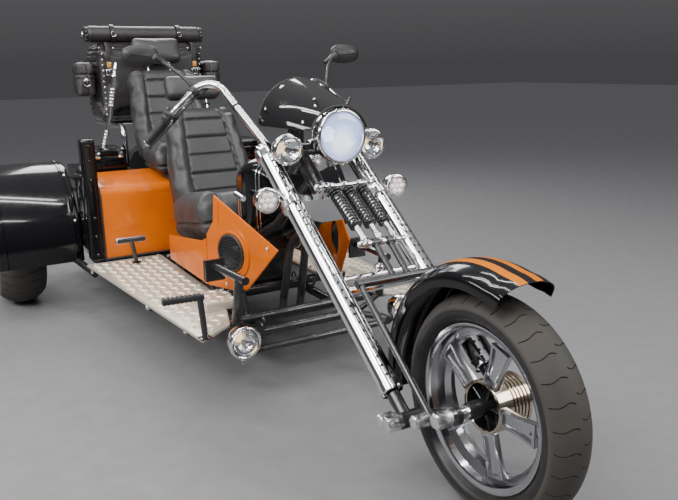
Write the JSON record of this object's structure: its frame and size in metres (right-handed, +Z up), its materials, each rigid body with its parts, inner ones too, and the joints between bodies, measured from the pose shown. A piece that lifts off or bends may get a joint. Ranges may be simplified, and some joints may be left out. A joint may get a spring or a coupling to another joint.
{
  "type": "motorized trike",
  "caption": "Long motorized trike with a raked springer fork, tandem bucket seats, footboards and a rear engine with luggage trunk.",
  "frame": {"origin": "on the floor under the middle of the overall box", "axes": "+X forward towards the front wheel, +Y to the trike's left, +Z up"},
  "size_m": [3.68, 1.943, 1.436],
  "materials": {
    "black_frame": "satin",
    "orange_paint": "glossy metallic",
    "black_gloss": "glossy",
    "plate": "bright chequer plate",
    "chrome": "polished",
    "spring_black": "glossy",
    "black_plastic": "matt",
    "grip_rubber": "matt",
    "smoked_screen": "smoked",
    "seat_leather": "soft sheen",
    "bag_leather": "soft sheen",
    "engine_metal": "cast",
    "lamp_glass": "clear",
    "tail_red": "glossy",
    "tyre": "matt",
    "wheel_metal": "polished"
  },
  "bodies": {
    "frame": {"frame_neck": "black_frame", "frame_rails": "black_frame", "frame_cross_members": "black_frame", "footboards": "plate", "foot_controls": "black_frame", "side_panels": "orange_paint", "speakers": "black_plastic", "fuel_tank": "black_gloss", "front_seat_cushion": "seat_leather", "front_seat_back": "seat_leather", "rear_seat_cushion": "seat_leather", "rear_seat_back": "seat_leather", "seat_bases": "black_frame", "rear_body": "orange_paint", "rear_sides": "black_gloss", "rear_fenders": "black_gloss", "rear_axle": "black_frame", "rear_dampers": "black_frame", "engine_block": "engine_metal", "engine_cylinders": "engine_metal", "engine_shroud": "black_plastic", "exhausts": "chrome", "luggage_rack": "chrome", "grab_rails": "chrome", "trunk": "bag_leather", "roll_bag": "bag_leather", "side_pouches": "bag_leather", "rear_bumper": "chrome", "tail_lamps": "tail_red", "front_guard": "black_frame", "fog_lamps": "chrome", "fog_lamp_glass": "lamp_glass", "gear_lever": "chrome"},
    "fork": {"fork_legs": "chrome", "fork_clamps": "chrome", "fork_springs": "spring_black", "fork_rods": "black_frame", "fork_bridges": "chrome", "fork_rockers": "black_frame", "front_axle": "chrome", "handlebar": "chrome", "grips": "grip_rubber", "hand_controls": "black_plastic", "mirrors": "black_plastic", "headlight": "chrome", "spot_lamps": "chrome", "lamp_glass": "lamp_glass", "lamp_bar": "black_frame", "flyscreen": "smoked_screen", "front_fender": "black_gloss"},
    "front_wheel": {"front_tyre": "tyre", "front_wheel": "wheel_metal"},
    "rear_wheel_right": {"rear_tyre_right": "tyre", "rear_wheel_right": "wheel_metal"},
    "rear_wheel_left": {"rear_tyre_left": "tyre", "rear_wheel_left": "wheel_metal"}
  },
  "joints": [
    {"name": "steering", "type": "hinge", "parent": "frame", "child": "fork", "pos_m": [0.455, 0, 0.864], "axis": [-0.7986, 0, 0.6018], "range_deg": [-32, 32]},
    {"name": "front_wheel_spin", "type": "hinge", "parent": "fork", "child": "front_wheel", "pos_m": [1.529, 0, 0.311], "axis": [0, 1, 0], "continuous": true},
    {"name": "rear_wheel_right_spin", "type": "hinge", "parent": "frame", "child": "rear_wheel_right", "pos_m": [-1.221, -0.85, 0.318], "axis": [0, 1, 0], "continuous": true},
    {"name": "rear_wheel_left_spin", "type": "hinge", "parent": "frame", "child": "rear_wheel_left", "pos_m": [-1.221, 0.85, 0.318], "axis": [0, 1, 0], "continuous": true}
  ]
}
